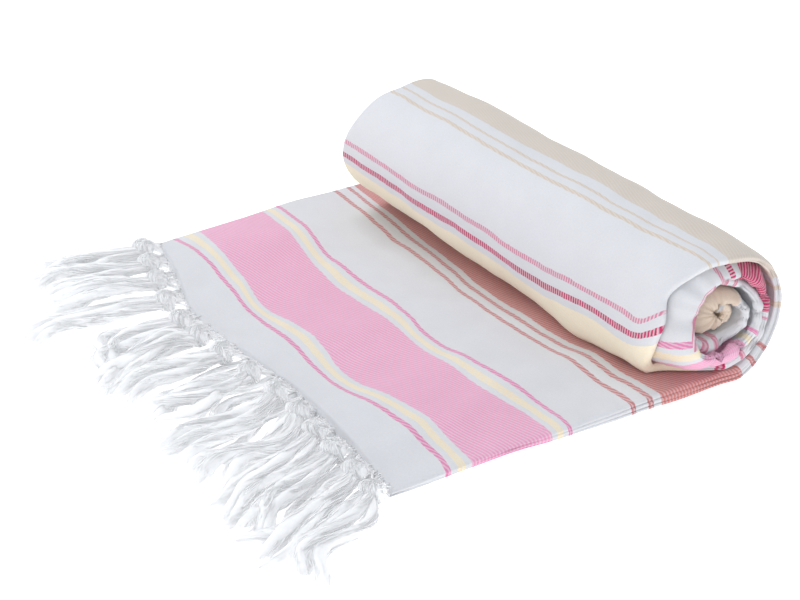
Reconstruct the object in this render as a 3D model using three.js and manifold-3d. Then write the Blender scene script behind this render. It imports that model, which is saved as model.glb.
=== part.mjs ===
// A striped cotton beach towel, folded in half lengthwise and in thirds across, then
// rolled up from its folded end. The last stretch lies flat in front of the roll as an
// apron, and the knotted fringe of both woven ends spreads on the floor beyond it.
// X runs along the roll, with the wound end that shows at +X. The apron points to -Y.
import * as THREE from "three";
import { mergeVertices } from "three/addons/utils/BufferGeometryUtils.js";
import Module from "manifold-3d";

// Driving dimensions, in millimetres
const AXIS_HEIGHT = 46;          // roll's axis above the floor
const FACE_COLUMNS = 14;         // points across one face of the folded strip
const EDGE_STEPS = [[0.16, 0.72], [0.5, 1], [0.84, 0.72]]; // depth and bulge of a fold
const APRON_ROWS = 13;           // steps along the apron
const TURN_STEP = 18;            // degrees between sections round the roll
const END_TURN = 1602;           // turn angle at the strip's inner end, in degrees
const ROLL_TAPER = 0.03;         // share by which the roll is thinner at its wound end
const END_SQUEEZE = 0.1;         // further share drawn in where the wound end rounds off
const SQUEEZE_FROM = 120;        // across, where that rounding off starts
const SQUEEZE_LENGTH = 52;
const HALF_WIDTH = 165;
const SIDE_THINNING = 0.35;      // share by which the apron thins at its side folds
const SIDE_FADE = 12;
const WELD = 1e-4;               // points closer than this become one

// The strip's run round the roll, a row for each eighth or quarter turn. turn is in
// degrees from the point under the roll, by the back and over the top. reach is from
// the roll's axis to the outer face. near and far are the two side folds, across.
const TURNS = rows(["turn", "reach", "thick", "near", "far"], [
  [0, 46, 7, 161, -178],
  [15, 47.3, 7, 163, -177],
  [30, 45, 7, 165, -174],
  [45, 43.5, 6.4, 166, -170],
  [90, 41.5, 5.2, 167, -160],
  [135, 41, 5, 167, -146],
  [180, 41, 4.8, 166, -134],
  [203, 41, 4.6, 160, -136],
  [225, 41, 4.6, 154.5, -137],
  [248, 41.2, 4.8, 148, -139],
  [270, 41.5, 5, 151.5, -140],
  [290, 41.5, 5, 147, -140],
  [320, 40.3, 4.6, 138, -141],
  [345, 38.4, 4.6, 152, -142],
  [360, 37.5, 5, 160, -142],
  [405, 36.4, 6.4, 167, -143],
  [450, 35.4, 7, 169, -144],
  [495, 35, 7, 168, -143],
  [540, 34.6, 7, 164, -142],
  [585, 34.6, 7, 160, -141],
  [625, 35, 7, 160, -141],
  [665, 35, 7, 166, -141],
  [690, 34, 7, 169, -141],
  [720, 31, 7, 169, -141],
  [765, 28.4, 7, 169, -140],
  [810, 27, 7, 168, -140],
  [855, 25, 7, 163, -140],
  [885, 23.6, 7, 158, -140],
  [915, 23, 7, 155, -140],
  [960, 23.5, 7, 148, -140],
  [1010, 25, 7, 152, -140],
  [1035, 26, 7, 157, -140],
  [1060, 24.5, 7, 158, -140],
  [1085, 22, 7, 155, -140],
  [1110, 20.5, 6.5, 150, -139],
  [1140, 19.4, 6.5, 164, -139],
  [1185, 18, 6, 165, -139],
  [1230, 16, 6, 162, -139],
  [1260, 15, 6, 158, -139],
  [1300, 14, 6, 157, -139],
  [1380, 14.5, 6, 157, -138],
  [1440, 13.4, 6, 156, -138],
  [1485, 10.8, 5.6, 154, -138],
  [1530, 8.4, 5, 153, -138],
  [1602, 6.3, 4.6, 151, -138],
]);

// How far the roll sags out over the apron as a share of its radius: most at one turn
// angle, and down to nothing some width of degrees to either side
const SAG = rows(["across", "share"], [
  [-178, -0.17], [-149, -0.17], [-100, -0.1], [-50, -0.005], [0, 0.09], [39, 0.155],
  [82, 0.25], [120, 0.27], [138, 0.25], [155, 0.14], [172, 0.07],
]);
const SAG_TURN = { at: 318, width: 42, from: 200 };

// The apron, from the roll (along 0) to the woven end (along 1)
const APRON = rows(["along", "thick", "near", "far"], [
  [0, 7, 161, -178],
  [0.3, 7.4, 156, -180],
  [0.65, 8, 149, -181],
  [1, 6.5, 145, -181],
]);

// How far in front of the roll's axis the woven end lies, across the towel
const WOVEN_END = rows(["across", "front"], [
  [-181, 157], [-150, 168], [-119, 179], [-90, 190], [-60, 195], [0, 196],
  [30, 197], [66, 203], [109, 210], [146, 218],
]);

// Soft ridges and troughs of the apron: they run from the roll to the woven end
const RIPPLES = rows(["across", "height", "width"], [
  [-140, 3.5, 26], [-55, -2.5, 34], [75, 3, 30], [128, -1.5, 18],
]);
const RIPPLE_FROM = 35;          // front of the axis, where the ripples start
const RIPPLE_FULL = 110;

// Fringe
const STRIP = { gap: 0.6, deep: 3.4, high: 4.6 };
const ROOT_OUT = STRIP.gap + STRIP.deep / 2;
const STRIP_SHOULDER = 0.7;      // share of the strip's height at its outer edge
const KNOT = { out: 13, across: 7, deep: 6.5, rise: 8.5, sides: 6, rings: 4 };
const NECK = { radius: 3.2, steps: 1 };
const LOCK = { radius: 2.8, tip: 0.9, steps: 6, corners: [210, 90, -30] };
const TASSEL = { side: 3.4, spread: [6.3, 7.2, 8], rise: [12, 10, 0], shortSide: 6 };
// The tassels on top, a row for each: where it leaves the woven end, its middle, its
// lower middle and its tip. Front is towards -Y.
const TOP_TASSELS = rows(
  ["root", "midAcross", "midFront", "lowAcross", "lowFront", "tipAcross", "tipFront"], [
    [-172, -172, 203, -179, 222, -190, 240],
    [-150, -154, 212, -163, 234, -168, 254],
    [-125, -132, 215, -143, 240, -149, 262],
    [-100, -104, 231, -113, 263, -105, 294],
    [-75, -71, 243, -65, 261, -45, 259],
    [-50, -54, 228, -43, 262, -38, 284],
    [-27, -23, 231, -22, 258, -20, 286],
    [-2, 12, 230, 9, 258, 7, 283],
    [22, 50, 240, 42, 272, 40, 296],
    [46, 80, 245, 77, 272, 80, 300],
    [70, 100, 253, 105, 286, 111, 305],
    [94, 119, 260, 128, 284, 133, 300],
    [116, 141, 252, 150, 288, 151, 316],
    [135, 163, 254, 174, 284, 178, 302],
  ]);
// The flat locks of the lower woven end, in pairs between the tassels on top: how far
// they lean with their neighbours at their middle and tip, and how their tips differ
const LOW_LOCKS = {
  apart: 5.5, middle: 26, length: 58, radius: 2.4, leanMiddle: 0.6, leanTip: 1.5,
  tipApart: 3, tipStep: 8,
};

function rows(names, values) {
  return values.map((row) => Object.fromEntries(names.map((name, i) => [name, row[i]])));
}

// Smooth curve through one column of a table, with Catmull-Rom slopes
function follow(table, by, column, at) {
  const last = table.length - 1;
  const x = Math.min(Math.max(at, table[0][by]), table[last][by]);
  let i = 0;
  while (i < last - 1 && x > table[i + 1][by]) i += 1;
  const slope = (j) => {
    const a = table[Math.max(j - 1, 0)];
    const b = table[Math.min(j + 1, last)];
    return (b[column] - a[column]) / (b[by] - a[by]);
  };
  const span = table[i + 1][by] - table[i][by];
  const t = (x - table[i][by]) / span;
  const [p, q] = [table[i][column], table[i + 1][column]];
  const [m, n] = [slope(i) * span, slope(i + 1) * span];
  const rise = (3 - 2 * t) * t * t;
  return p + (q - p) * rise + m * t * (1 - t) ** 2 - n * t * t * (1 - t);
}

const bell = (distance, width) => Math.exp(-((distance / width) ** 2));
const ease = (value) => THREE.MathUtils.smoothstep(value, 0, 1);
const mix = THREE.MathUtils.lerp;

const wovenEnd = (across) => follow(WOVEN_END, "across", "front", across);

// Height of the apron's upper face over a point of the floor
function apronTop(across, front, thick, near, far) {
  const side = Math.min(near - across, across - far);
  const thin = 1 - SIDE_THINNING * Math.exp(-Math.max(side, 0) / SIDE_FADE);
  const fade = ease((front - RIPPLE_FROM) / (RIPPLE_FULL - RIPPLE_FROM));
  const ripple = RIPPLES.reduce((sum, r) => sum + r.height * bell(across - r.across, r.width), 0);
  return thick * mix(1, thin, fade) + ripple * fade;
}

// One point of the apron: depth 0 is the underside on the floor, 1 the upper face
function apronPoint(along, across, depth, row) {
  const front = along * wovenEnd(across);
  const top = apronTop(across, front, row.thick, row.near, row.far);
  return new THREE.Vector3(across, -front, depth * top);
}

// One point of the roll: depth 0 is the outer face of that turn, 1 its inner face. It
// never comes lower than the same depth of its turn does right under the axis.
function rollPoint(turn, across, depth, row) {
  const angle = THREE.MathUtils.degToRad(turn);
  const raised = (1 - Math.cos(angle)) / 2;
  const squeeze = END_SQUEEZE * ease((across - SQUEEZE_FROM) / SQUEEZE_LENGTH);
  const shrink = 1 - raised * (ROLL_TAPER * across / HALF_WIDTH + squeeze);
  const fromSag = THREE.MathUtils.euclideanModulo(turn - SAG_TURN.at + 180, 360) - 180;
  const sag = turn > SAG_TURN.from
    ? follow(SAG, "across", "share", across) * bell(fromSag, SAG_TURN.width) : 0;
  const radius = (row.reach - depth * row.thick) * shrink * (1 + sag);
  const under = 360 * Math.round(turn / 360);
  const lowest = AXIS_HEIGHT - follow(TURNS, "turn", "reach", under)
    + depth * follow(TURNS, "turn", "thick", under);
  const z = Math.max(AXIS_HEIGHT - radius * Math.cos(angle), lowest);
  return new THREE.Vector3(across, radius * Math.sin(angle), z);
}

// Places across one face, from the far side fold to the near one
function faceColumns({ thick, near, far }) {
  return Array.from({ length: FACE_COLUMNS }, (_, i) => (
    mix(far + thick / 2, near - thick / 2, i / (FACE_COLUMNS - 1))));
}

// The closed outline of one section: outer face, near fold, inner face, far fold
function section(row, pointAt) {
  const bulge = row.thick / 2;
  const columns = faceColumns(row);
  return [
    ...columns.map((across) => pointAt(across, 0)),
    ...EDGE_STEPS.map(([depth, out]) => pointAt(row.near + bulge * (out - 1), depth)),
    ...columns.toReversed().map((across) => pointAt(across, 1)),
    ...EDGE_STEPS.toReversed().map(([depth, out]) => pointAt(row.far - bulge * (out - 1), depth)),
  ];
}

// Triangles that close one section: a ladder between its two faces, from the far fold
function ladder(size) {
  const tip = size - 2;
  const point = (k) => (tip + k + size) % size;
  const faces = [[point(0), point(1), point(-1)]];
  for (let k = 1; 2 * k + 1 < size; k += 1) {
    faces.push([point(k), point(k + 1), point(-k)]);
    if (point(k + 1) !== point(-k - 1)) faces.push([point(k + 1), point(-k - 1), point(-k)]);
  }
  return faces;
}

// A closed skin over a run of sections that have the same number of points
function skin(sections) {
  const size = sections[0].length;
  const last = (sections.length - 1) * size;
  const faces = [];
  for (let i = 0; i < last; i += size) {
    for (let j = 0; j < size; j += 1) {
      const k = (j + 1) % size;
      faces.push(i + j, i + size + k, i + k, i + j, i + size + j, i + size + k);
    }
  }
  for (const [a, b, c] of ladder(size)) faces.push(a, b, c, last + a, last + c, last + b);
  const geometry = new THREE.BufferGeometry().setFromPoints(sections.flat());
  geometry.setIndex(faces);
  return geometry;
}

// The towel's folded strip, from the woven end under the roll and round to its core
function towelGeometry() {
  const sections = [];
  for (let i = APRON_ROWS; i > 0; i -= 1) {
    const along = i / APRON_ROWS;
    const row = { along };
    for (const name of ["thick", "near", "far"]) row[name] = follow(APRON, "along", name, along);
    sections.push(section(row, (across, depth) => apronPoint(along, across, depth, row)));
  }
  for (let turn = 0; turn <= END_TURN; turn += TURN_STEP) {
    const row = { turn };
    for (const name of ["reach", "thick", "near", "far"]) {
      row[name] = follow(TURNS, "turn", name, turn);
    }
    sections.push(section(row, (across, depth) => rollPoint(turn, across, depth, row)));
  }
  return skin(sections);
}

// The unwoven heading that all the warp ends leave from, just off the cloth's edge
function stripGeometry() {
  const sections = faceColumns(APRON[APRON.length - 1]).map((across) => {
    const edge = wovenEnd(across) + STRIP.gap;
    return [[0, 0], [STRIP.deep, 0], [STRIP.deep, STRIP.high * STRIP_SHOULDER], [0, STRIP.high]]
      .map(([out, up]) => new THREE.Vector3(across, -(edge + out), up));
  });
  return skin(sections);
}

// One lock: three-sided, tapered, its flat side level with the floor
function lockGeometry(route, root = LOCK.radius, tip = LOCK.tip, steps = LOCK.steps) {
  const curve = new THREE.CatmullRomCurve3(route);
  const sections = Array.from({ length: steps + 1 }, (_, i) => {
    const share = i / steps;
    const centre = curve.getPoint(share);
    const ahead = curve.getTangent(share).setZ(0).normalize();
    const radius = mix(root, tip, share ** 3);
    const height = Math.max(centre.z, radius / 2);
    return LOCK.corners.map((degrees) => {
      const angle = THREE.MathUtils.degToRad(degrees);
      const side = radius * Math.cos(angle);
      return new THREE.Vector3(centre.x - ahead.y * side, centre.y + ahead.x * side,
        height + radius * Math.sin(angle));
    });
  });
  return skin(sections);
}

// One tassel: a short neck, the knot that gathers it, and three locks that spread again
function tasselGeometries(tassel) {
  const edge = wovenEnd(tassel.root);
  const knot = new THREE.Vector3(
    mix(tassel.root, tassel.midAcross, KNOT.out / (tassel.midFront - edge)),
    -(edge + KNOT.out), KNOT.rise);
  const bead = new THREE.SphereGeometry(1, KNOT.sides, KNOT.rings);
  bead.scale(KNOT.across, KNOT.deep, KNOT.deep);
  bead.translate(knot.x, knot.y, knot.z);
  const root = new THREE.Vector3(tassel.root, -(edge + ROOT_OUT), NECK.radius / 2);
  const neck = lockGeometry([root, knot], NECK.radius, NECK.radius, NECK.steps);
  const stops = [
    [tassel.midAcross, tassel.midFront],
    [tassel.lowAcross, tassel.lowFront],
    [tassel.tipAcross, tassel.tipFront],
  ];
  const locks = [-1, 0, 1].map((side) => {
    const route = stops.map(([across, front], i) => new THREE.Vector3(
      across + side * TASSEL.spread[i], -front, TASSEL.rise[i]));
    route[route.length - 1].y += Math.abs(side) * TASSEL.shortSide;
    return lockGeometry([knot.clone().setX(knot.x + side * TASSEL.side), ...route]);
  });
  return [bead, neck, ...locks];
}

// The pair of flat locks between two neighbouring tassels
function lowLockGeometries(left, right) {
  const root = (left.root + right.root) / 2;
  const lean = (left.midAcross + right.midAcross) / 2 - root;
  return [-0.5, 0.5].map((side) => {
    const across = root + side * LOW_LOCKS.apart;
    const at = (out, sway) => new THREE.Vector3(across + sway, -(wovenEnd(across) + out), 0);
    const route = [at(ROOT_OUT, 0), at(LOW_LOCKS.middle, lean * LOW_LOCKS.leanMiddle),
      at(LOW_LOCKS.length - LOW_LOCKS.tipStep * side,
        lean * LOW_LOCKS.leanTip + side * LOW_LOCKS.tipApart)];
    return lockGeometry(route, LOW_LOCKS.radius);
  });
}

const wasm = await Module();
wasm.setup();

function solidOf(geometry) {
  geometry.deleteAttribute("normal");
  geometry.deleteAttribute("uv");
  const merged = mergeVertices(geometry, WELD);
  return new wasm.Manifold(new wasm.Mesh({
    numProp: 3,
    vertProperties: new Float32Array(merged.attributes.position.array),
    triVerts: new Uint32Array(merged.index.array),
  }));
}

function geometryOf(solid) {
  const mesh = solid.getMesh();
  const geometry = new THREE.BufferGeometry();
  geometry.setAttribute("position", new THREE.BufferAttribute(mesh.vertProperties, 3));
  geometry.setIndex(new THREE.BufferAttribute(mesh.triVerts, 1));
  return geometry;
}

function fringeGeometry() {
  let solid = solidOf(stripGeometry());
  TOP_TASSELS.forEach((tassel, i) => {
    const pieces = tasselGeometries(tassel);
    if (i > 0) pieces.push(...lowLockGeometries(TOP_TASSELS[i - 1], tassel));
    for (const piece of pieces) solid = solid.add(solidOf(piece));
  });
  return geometryOf(solid);
}

const cotton = new THREE.MeshStandardMaterial({ color: 0xe9b4d0, roughness: 0.95, metalness: 0 });
const yarn = new THREE.MeshStandardMaterial({ color: 0xf1f1f3, roughness: 0.95, metalness: 0 });

function mesh(name, geometry, material) {
  const piece = new THREE.Mesh(geometry, material);
  piece.name = name;
  return piece;
}

const towel = new THREE.Group();
towel.add(mesh("towel_cloth", towelGeometry(), cotton));
towel.add(mesh("fringe", fringeGeometry(), yarn));

export default towel;
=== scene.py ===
import math
import bpy
import numpy as np
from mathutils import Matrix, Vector


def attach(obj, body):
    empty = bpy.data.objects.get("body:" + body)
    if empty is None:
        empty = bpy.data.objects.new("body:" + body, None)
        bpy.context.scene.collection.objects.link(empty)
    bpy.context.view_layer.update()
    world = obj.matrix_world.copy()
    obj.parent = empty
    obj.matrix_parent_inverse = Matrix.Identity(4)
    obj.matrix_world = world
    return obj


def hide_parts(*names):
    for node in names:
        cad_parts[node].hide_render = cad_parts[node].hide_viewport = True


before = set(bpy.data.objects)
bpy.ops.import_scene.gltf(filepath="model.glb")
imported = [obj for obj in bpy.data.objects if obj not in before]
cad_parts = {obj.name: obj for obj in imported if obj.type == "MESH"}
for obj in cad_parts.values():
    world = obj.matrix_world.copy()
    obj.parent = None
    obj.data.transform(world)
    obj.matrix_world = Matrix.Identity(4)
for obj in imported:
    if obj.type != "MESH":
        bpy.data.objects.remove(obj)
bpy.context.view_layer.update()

# Studio: a white floor under a pale sky and two soft lights, seen from above the wound end.
# Positions are in metres. The camera looks at a point of the apron's middle.
VIEW_AZIMUTH, VIEW_ELEVATION, VIEW_DISTANCE = 53.0, 26.5, 1.2
VIEW_TARGET = Vector((0.0, -0.1025, 0.02))
LENS, SENSOR = 93.15, 36.0
azimuth, elevation = math.radians(VIEW_AZIMUTH), math.radians(VIEW_ELEVATION)
back = Vector((math.sin(azimuth) * math.cos(elevation),
               -math.cos(azimuth) * math.cos(elevation), math.sin(elevation)))
camera = bpy.data.objects.new("camera", bpy.data.cameras.new("camera"))
camera.data.lens, camera.data.sensor_width = LENS, SENSOR
camera.location = VIEW_TARGET + back * VIEW_DISTANCE
camera.rotation_mode = "QUATERNION"
camera.rotation_quaternion = (-back).to_track_quat("-Z", "Y")
bpy.context.collection.objects.link(camera)
bpy.context.scene.camera = camera
bpy.context.scene.view_settings.view_transform = "Standard"

FLOOR_SIZE, FLOOR_WHITE, FLOOR_GLOW = 8.0, (0.92, 0.92, 0.92), 0.62
SKY, SKY_STRENGTH = (0.93, 0.96, 1.0), 0.80


def plain_material(name, colour, roughness):
    """A new material with one principled shader, its colour and roughness set on it."""
    material = bpy.data.materials.new(name)
    material.use_nodes = True
    shader = material.node_tree.nodes["Principled BSDF"]
    shader.inputs["Base Color"].default_value = (*colour, 1.0)
    shader.inputs["Roughness"].default_value = roughness
    return material, shader


half = FLOOR_SIZE / 2
floor_mesh = bpy.data.meshes.new("floor")
floor_mesh.from_pydata([(-half, -half, 0), (half, -half, 0), (half, half, 0), (-half, half, 0)],
                       [], [(0, 1, 2, 3)])
floor = bpy.data.objects.new("floor", floor_mesh)
bpy.context.collection.objects.link(floor)
floor_paint, floor_shader = plain_material("floor_paint", FLOOR_WHITE, 0.9)
floor_shader.inputs["Emission Color"].default_value = (1.0, 1.0, 1.0, 1.0)
floor_shader.inputs["Emission Strength"].default_value = FLOOR_GLOW
floor_mesh.materials.append(floor_paint)

world = bpy.data.worlds.new("studio")
world.use_nodes = True
sky = world.node_tree.nodes["Background"]
sky.inputs["Color"].default_value = (*SKY, 1.0)
sky.inputs["Strength"].default_value = SKY_STRENGTH
bpy.context.scene.world = world


def soft_light(name, place, size, power):
    """A square area light at place, in metres, aimed at the towel."""
    light = bpy.data.objects.new(name, bpy.data.lights.new(name, "AREA"))
    light.data.size, light.data.energy = size, power
    light.location = place
    light.rotation_mode = "QUATERNION"
    light.rotation_quaternion = (VIEW_TARGET - Vector(place)).to_track_quat("-Z", "Y")
    bpy.context.collection.objects.link(light)


soft_light("key", place=(-0.9, -0.1, 1.3), size=0.9, power=8.5)
soft_light("fill", place=(0.8, -1.55, 0.2), size=1.2, power=6.2)

# The towel's folded strip: one flat-woven cotton cloth in six pressed layers, about 7 mm
# thick, wound four and a half turns from its folded end. Its last stretch lies flat in
# front of the roll, up to the woven end. Side folds show as three lips with creases
# between them, and the lips of the wound end that shows curl in over the core.
MM = 0.001
AXIS_HEIGHT = 46.0
END_TURN = 1602.0
ROLL_TAPER, END_SQUEEZE, SQUEEZE_FROM, SQUEEZE_LENGTH = 0.03, 0.1, 120.0, 52.0
HALF_WIDTH, APRON_LENGTH = 165.0, 196.0
APRON_STEPS, ROLL_STEPS = 88, 400
# The lips are arcs of LIP_SWING degrees to either side, with grooves GROOVE lip radii deep
LIPS, LIP_STEPS, LIP_SWING, GROOVE = 3, 7, 80.0, 3.2
# The lips' waves along the strip, in millimetres to a radian, and how far back each lies
LIP_WAVES, LIP_PHASES = np.array([61.0, 47.0, 73.0]), np.array([0.3, 2.1, 4.0])
LIP_SET_BACK = np.array([0.0, 1.2, 0.6])
# Where a face's columns begin, crowd and end, as shares of its width
FACE_START, FACE_DENSE_FAR, FACE_DENSE_NEAR, FACE_END = 0.003, 0.05, 0.72, 0.997

# The strip's run round the roll. turn is in degrees from the point under the roll, by the
# back and over the top, and lengths are in millimetres. reach is from the roll's axis to
# the outer face, near and far are the side folds across. The near side curls in by curl
# degrees over its last stretch, roll_in long. parting is how far its folds stand apart.
TURNS = np.array([
    # turn, reach, thick, near, far, curl, roll_in, parting
    (0, 46, 7, 161, -178, 0, 10, 0.5),
    (15, 47.3, 7, 163, -177, 0, 10, 0.5),
    (30, 45, 7, 165, -174, 0, 10, 0.5),
    (45, 43.5, 6.4, 166, -170, 10, 12, 0.5),
    (90, 41.5, 5.2, 167, -160, 20, 12, 0.4),
    (135, 41, 5, 167, -146, 20, 12, 0.4),
    (180, 41, 4.8, 166, -134, 12, 12, 0.3),
    (203, 41, 4.6, 160, -137, 6, 12, 0.15),
    (225, 41, 4.6, 154.5, -139, 6, 12, 0.1),
    (248, 41.2, 4.8, 148, -143, 6, 12, 0.1),
    (270, 41.5, 5, 151.5, -145, 6, 12, 0.1),
    (290, 41.5, 5, 147, -144, 4, 12, 0.1),
    (320, 40.3, 4.6, 138, -143, 0, 12, 0.1),
    (345, 38.4, 4.6, 152, -143, 0, 12, 0.2),
    (360, 37.5, 5, 160, -142, 10, 12, 0.3),
    (405, 36.4, 6.4, 170, -143, 35, 20, 0.3),
    (450, 35.4, 7, 172, -144, 47, 22, 0.2),
    (495, 35, 7, 171, -143, 47, 22, 0.2),
    (540, 34.6, 7, 167, -142, 48, 22, 0.15),
    (585, 34.6, 7, 164, -141, 52, 25, 0.1),
    (625, 35, 7, 164, -141, 52, 25, 0.1),
    (645, 35, 7, 165, -141, 46, 20, 0.1),
    (665, 35, 7, 168, -141, 36, 16, 0.1),
    (690, 34, 7, 172, -141, 46, 20, 0.1),
    (720, 31, 7, 172, -141, 48, 20, 0.1),
    (765, 28.4, 7, 172, -140, 45, 16, 0.1),
    (810, 27, 7, 172, -140, 50, 16, 0.1),
    (855, 25, 7, 166, -140, 45, 14, 0.1),
    (885, 23.6, 7, 161, -140, 40, 12, 0.1),
    (915, 23, 7, 155, -140, 10, 10, 0.2),
    (960, 23.5, 7, 148, -140, 0, 10, 0.2),
    (1010, 25, 7, 152, -140, 0, 10, 0.2),
    (1035, 26, 7, 160, -140, 25, 10, 0.1),
    (1060, 24.5, 7, 163, -140, 30, 10, 0.1),
    (1085, 22, 7, 160, -140, 20, 10, 0.1),
    (1110, 20.5, 6.5, 164, -139, 25, 12, 0.1),
    (1140, 19.4, 6.5, 168, -139, 40, 14, 0.1),
    (1185, 18, 6, 168, -139, 45, 16, 0.1),
    (1230, 16, 6, 165, -139, 50, 14, 0.1),
    (1260, 15, 6, 162, -139, 60, 15, 0.1),
    (1300, 14, 6, 162, -139, 75, 17, 0.1),
    (1380, 14.5, 6, 163, -138, 80, 19, 0.1),
    (1440, 13.4, 6, 162, -138, 78, 17, 0.1),
    (1485, 12.2, 6.5, 161, -138, 60, 12, 0.1),
    (1530, 11, 8.4, 161, -138, 45, 8, 0.1),
    (1602, 8.6, 8, 160.5, -138, 30, 5, 0.1),
], dtype=float)
# The apron from the roll (along 0) to the woven end (along 1)
APRON = np.array([
    # along, thick, near, far
    (0, 7, 161, -178),
    (0.3, 7.4, 156, -180),
    (0.65, 8, 149, -181),
    (1, 6.5, 145, -181),
], dtype=float)
# How far in front of the roll's axis the woven end lies, across the towel
WOVEN_END = np.array([
    # across, front
    (-181, 157), (-150, 168), (-119, 179), (-90, 190), (-60, 195), (0, 196),
    (30, 197), (66, 203), (109, 210), (146, 218),
], dtype=float)
# Soft ridges and troughs of the apron, running from the roll to the woven end
RIPPLES = (
    # across, height, width
    (-140, 3.5, 26), (-55, -2.5, 34), (75, 3.0, 30), (128, -1.5, 18),
)
RIPPLE_FROM, RIPPLE_FULL = 35.0, 110.0
SIDE_THINNING, SIDE_FADE = 0.35, 12.0
# The least reach and bend that the roll's formula takes, the share of the curling stretch
# that bends, and how much thinner the strip is pressed at a bend of FULL_BEND radians
LEAST_REACH, LEAST_BEND, BENT_SHARE = 0.4, 1e-4, 0.8
BEND_THINNING, FULL_BEND = 0.35, 1.2
# The core's forward shift and drop, and the turns over which they come in
CORE_FORWARD, CORE_DROP, CORE_FROM, CORE_FULL = 2.5, 3.0, 1120.0, 1320.0
# How far the roll sags out over the apron as a share of its radius: most at SAG_TURN, and
# down to nothing some SAG_WIDTH degrees to either side
SAG = np.array([
    # across, share
    (-178, -0.17), (-149, -0.17), (-100, -0.10), (-50, -0.005), (0, 0.09), (39, 0.155),
    (82, 0.25), (120, 0.27), (138, 0.25), (155, 0.14), (172, 0.07),
], dtype=float)
SAG_TURN, SAG_WIDTH, SAG_FROM = 318.0, 42.0, 200.0
# How far its back bulges towards the far end, as a share of its radius: most at BACK_TURN
BACK = np.array([
    # across, share
    (-178, 0.22), (-140, 0.25), (-90, 0.24), (-20, 0.18), (25, 0.115), (68, 0.05), (105, 0.0),
    (172, 0.0),
], dtype=float)
BACK_TURN, BACK_WIDTH = 120.0, 35.0


def follow(table, column, at):
    """A smooth curve through one column of a table against its first column: cubic
    pieces whose slope at each row is that of the line between its two neighbours."""
    x, y = table[:, 0], table[:, column]
    row = np.arange(len(x))
    below, above = np.maximum(row - 1, 0), np.minimum(row + 1, len(x) - 1)
    slope = (y[above] - y[below]) / (x[above] - x[below])
    at = np.clip(at, x[0], x[-1])
    i = np.clip(np.searchsorted(x, at, side="right") - 1, 0, len(x) - 2)
    span = x[i + 1] - x[i]
    t = (at - x[i]) / span
    return (y[i] + (y[i + 1] - y[i]) * (3 - 2 * t) * t * t
            + slope[i] * span * t * (1 - t) ** 2 - slope[i + 1] * span * t * t * (1 - t))


def bell(distance, width):
    """1 at no distance, falling to 0 as the square of distance over width grows."""
    return np.exp(-(distance / width) ** 2)


def ease(value):
    """0 up to 0, 1 from 1 on, and a smooth cubic between."""
    value = np.clip(value, 0, 1)
    return value * value * (3 - 2 * value)


def woven_end(across):
    """How far in front of the roll's axis the woven end lies at a place across."""
    return follow(WOVEN_END, 1, across)


def face_shares():
    """Places across a face from far, near 0, to near, near 1, closer together at both ends.
    The first and the last lie a millimetre inside the side folds."""
    return np.concatenate([np.linspace(FACE_START, FACE_DENSE_FAR, 5)[:-1],
                           np.linspace(FACE_DENSE_FAR, FACE_DENSE_NEAR, 30)[:-1],
                           np.linspace(FACE_DENSE_NEAR, FACE_END, 38)])


def lip_profile():
    """The edge of the pressed layers, as half circles one above the other: depth through
    the thickness, how far each point stands out, and which lip it is on. A groove between
    two lips is one point set well back."""
    swing = np.linspace(-LIP_SWING, LIP_SWING, LIP_STEPS) * math.pi / 180
    depth, out, lip = [], [], []
    for i in range(LIPS):
        depth += list((i + 0.5 + np.sin(swing) / 2) / LIPS)
        out += list(np.cos(swing) - 1)
        lip += [i] * LIP_STEPS
        if i < LIPS - 1:
            depth.append((i + 1) / LIPS)
            out.append(-GROOVE)
            lip.append(i)
    return np.array(depth), np.array(out), np.array(lip)


shares = face_shares()
lip_depth, lip_out, lip_index = lip_profile()

along = np.linspace(1, 0, APRON_STEPS, endpoint=False)
turn = np.linspace(0, END_TURN, ROLL_STEPS)
on_roll = np.concatenate([np.zeros(APRON_STEPS, bool), np.ones(ROLL_STEPS, bool)])
row_along = np.concatenate([along, np.zeros(ROLL_STEPS)])
row_turn = np.concatenate([np.zeros(APRON_STEPS), turn])


def row_value(apron_column, turn_column):
    """A value for each row of the strip, from a column of each of the two tables."""
    return np.concatenate([follow(APRON, apron_column, along), follow(TURNS, turn_column, turn)])


thick, near, far = row_value(1, 2), row_value(2, 3), row_value(3, 4)
curl = np.concatenate([np.zeros(APRON_STEPS), np.radians(follow(TURNS, 5, turn))])
roll_in = np.concatenate([np.full(APRON_STEPS, TURNS[0, 6]), follow(TURNS, 6, turn)])
parting = np.concatenate([np.full(APRON_STEPS, TURNS[0, 7]), follow(TURNS, 7, turn)])[:, None]

# The length wound so far, along the middle of the thickness, in millimetres: it is
# negative on the apron and 0 under the roll.
middle_reach = follow(TURNS, 1, turn) - follow(TURNS, 2, turn) / 2
step_lengths = np.radians(np.diff(turn)) * (middle_reach[1:] + middle_reach[:-1]) / 2
wound = np.concatenate([[0], np.cumsum(step_lengths)])
row_length = np.concatenate([-along * APRON_LENGTH, wound])


def lip_offsets(side):
    """How far each lip stands out beyond the fold, slowly changing along the strip."""
    wave = row_length[:, None] / LIP_WAVES + LIP_PHASES + side
    return 0.9 * np.sin(wave) + 0.5 * np.sin(2.3 * wave + 1.0) - LIP_SET_BACK


# One round fold, as deep as the strip is thick, where the folds don't part, and three
# lips one above the other where they do, mixed by the parting
lip_radius = (thick / LIPS / 2)[:, None]
round_fold = (thick / 2)[:, None] * (np.sqrt(1 - (2 * lip_depth - 1) ** 2) - 1)


def side_fold(fold, sign):
    """The side fold's profile across, from the outer face to the inner one."""
    lips = fold[:, None] + sign * parting * lip_offsets(sign)
    parted = lip_radius * lip_out
    return lips[:, lip_index] + sign * (parting * parted + (1 - parting) * round_fold)


near_edge, far_edge = side_fold(near, 1.0), side_fold(far, -1.0)[:, ::-1]


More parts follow.
